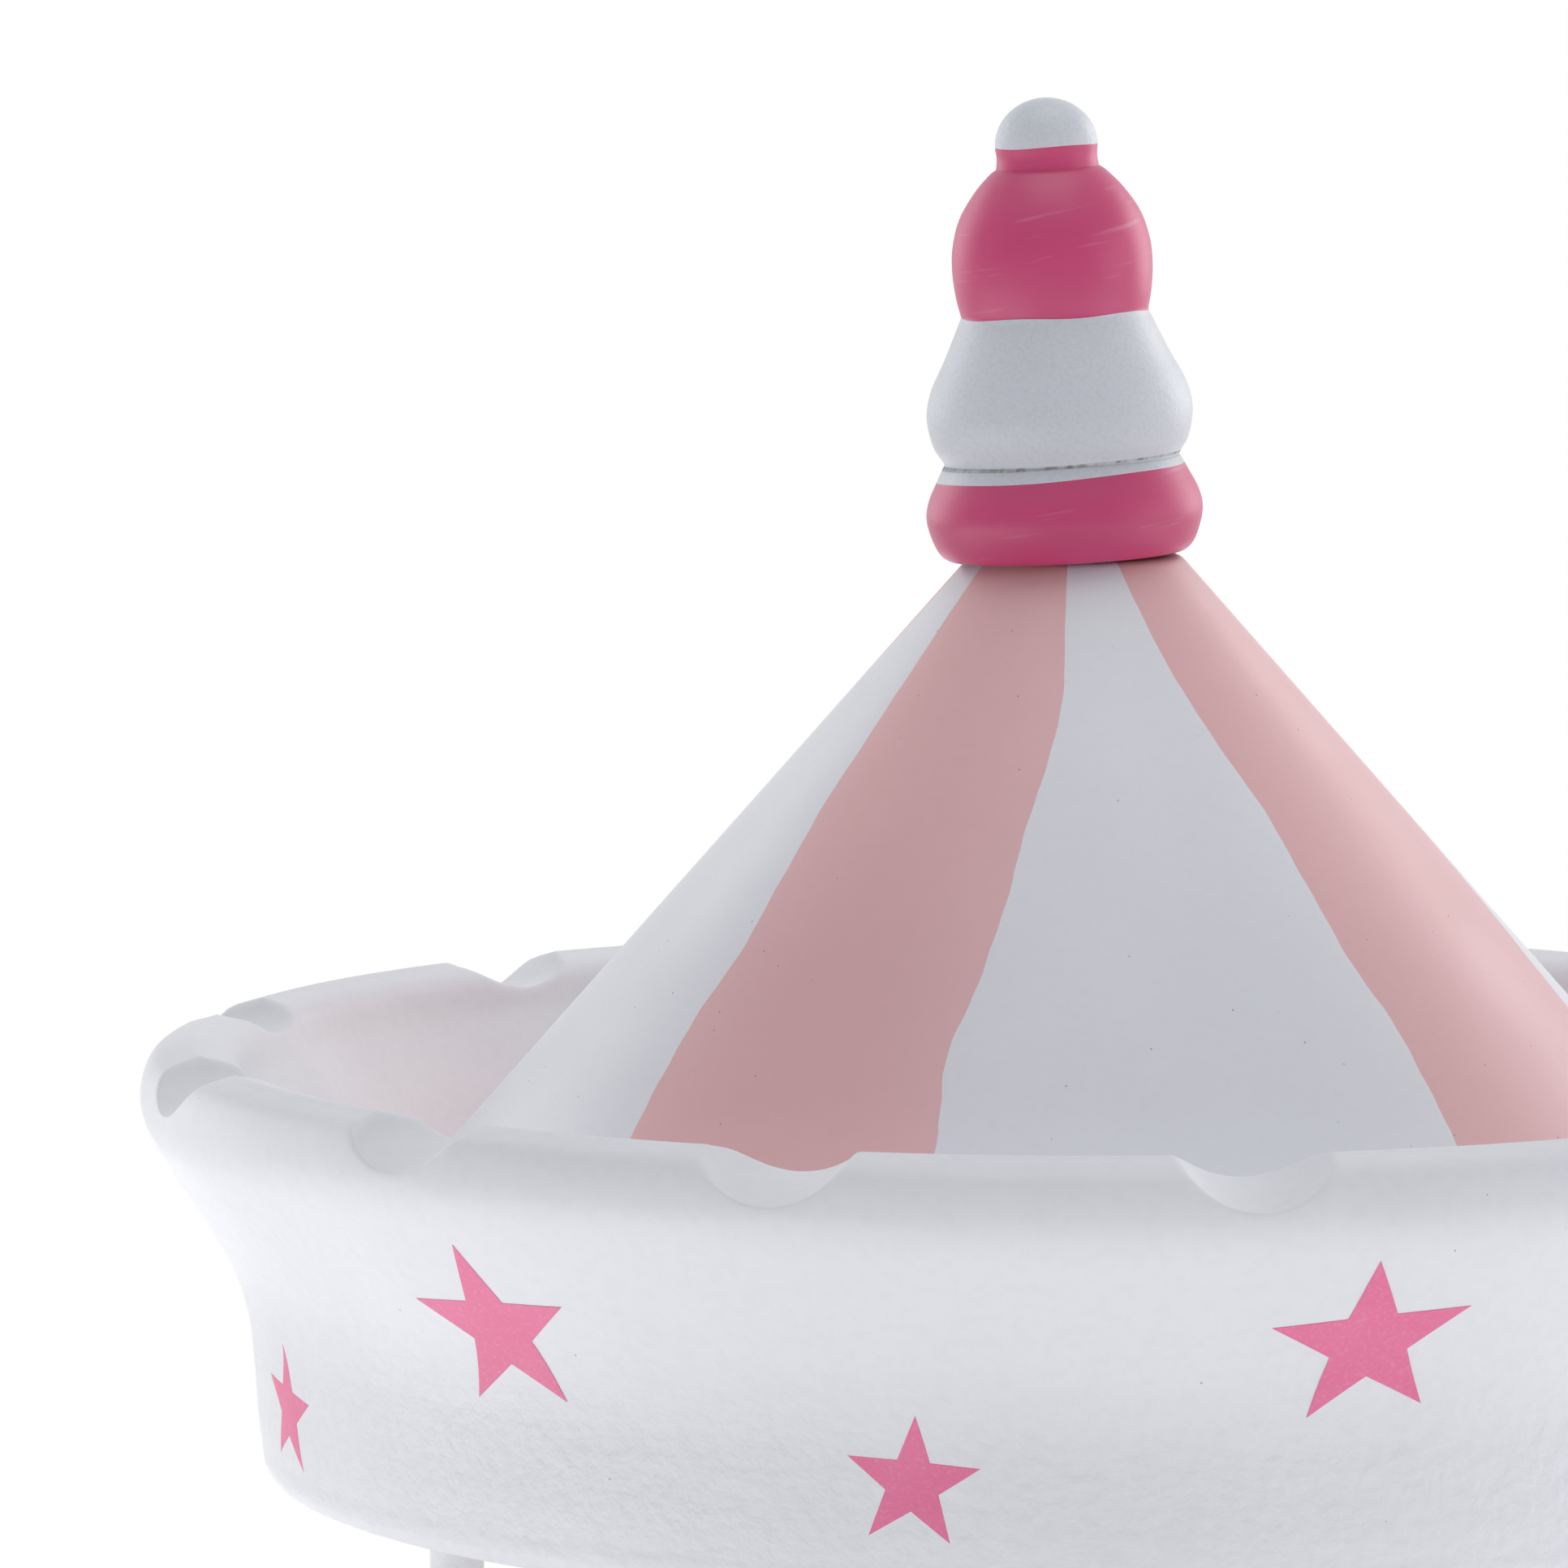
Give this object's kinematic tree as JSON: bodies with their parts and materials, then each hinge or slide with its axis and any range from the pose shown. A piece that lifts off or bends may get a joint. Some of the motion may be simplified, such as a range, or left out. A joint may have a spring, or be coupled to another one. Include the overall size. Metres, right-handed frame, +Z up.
{
  "type": "carousel music box",
  "caption": "Painted wooden carousel music box: horses on poles turn under a flared crown and striped cone roof, driven by a wind-up musical movement in the round base.",
  "frame": {"origin": "on the table under the middle of the base", "axes": "+Z up along the spindle, the front looks towards -Y"},
  "size_m": [0.1406, 0.1406, 0.2285],
  "materials": {
    "white_enamel": "brushed white enamel paint on turned beech, satin",
    "rose_enamel": "brushed rose enamel paint on turned beech, satin",
    "striped_enamel": "white satin paint with hand-painted pale pink stripes",
    "horse_enamel": "painted sawn wood with softened edges",
    "bare_beech": "bare beech",
    "plywood": "sanded birch plywood",
    "brass": "turned brass",
    "steel": "bright steel",
    "spring_steel": "ground and blued spring steel",
    "nickel_plate": "nickel-plated steel",
    "cast_zinc": "zinc die casting",
    "nylon": "moulded black nylon",
    "rubber": "moulded rubber"
  },
  "bodies": {
    "base": {"feet": "rubber", "base_drum": "white_enamel", "bottom_cover": "plywood", "cover_screws": "steel", "movement_screws": "steel", "spindle_bush": "brass", "thrust_washer": "nylon", "movement_bedplate": "cast_zinc", "comb": "spring_steel", "comb_screws": "steel", "cylinder_bearing": "steel", "end_bearing": "steel", "governor_bracket": "steel"},
    "carousel": {"spindle": "steel", "spring_barrel": "brass", "barrel_lid": "brass", "mainspring": "spring_steel", "platform": "rose_enamel", "platform_insert": "brass", "column": "white_enamel", "pole_1": "white_enamel", "pole_2": "white_enamel", "pole_3": "white_enamel", "pole_4": "white_enamel", "horse_1": "horse_enamel", "horse_2": "horse_enamel", "horse_3": "horse_enamel", "horse_4": "horse_enamel", "crown": "white_enamel", "roof_cone": "striped_enamel", "finial": "rose_enamel", "finial_dowel": "bare_beech"},
    "winding": {"winding_key": "nickel_plate", "winding_arbor": "steel"},
    "pinned_cylinder": {"cylinder": "brass", "cylinder_arbor": "steel", "drive_pinion": "brass", "cylinder_gear": "brass"},
    "governor_train": {"governor_wheel": "nylon", "governor_pinion": "brass", "governor_arbor": "steel"},
    "governor": {"governor_worm": "steel", "governor_fan": "nylon"}
  },
  "joints": [
    {"name": "carousel_spin", "type": "hinge", "parent": "base", "child": "carousel", "pos_m": [0, 0, 0.051], "axis": [0, 0, 1], "continuous": true},
    {"name": "key_wind", "type": "hinge", "parent": "base", "child": "winding", "pos_m": [0, 0, 0.0086], "axis": [0, 0, 1], "continuous": true},
    {"name": "cylinder_turn", "type": "hinge", "parent": "base", "child": "pinned_cylinder", "pos_m": [0.0336, 0, 0.03106], "axis": [1, 0, 0], "continuous": true},
    {"name": "governor_wheel_turn", "type": "hinge", "parent": "base", "child": "governor_train", "pos_m": [0.036, 0.0121, 0.03106], "axis": [1, 0, 0], "continuous": true},
    {"name": "governor_turn", "type": "hinge", "parent": "base", "child": "governor", "pos_m": [0.036, 0.0178, 0.03106], "axis": [0, 0, 1], "continuous": true}
  ],
  "couplings": [
    {"joint": "cylinder_turn", "follows": "carousel_spin", "ratio": 3.5714},
    {"joint": "governor_wheel_turn", "follows": "carousel_spin", "ratio": -10.714},
    {"joint": "governor_turn", "follows": "carousel_spin", "ratio": 171.43}
  ]
}
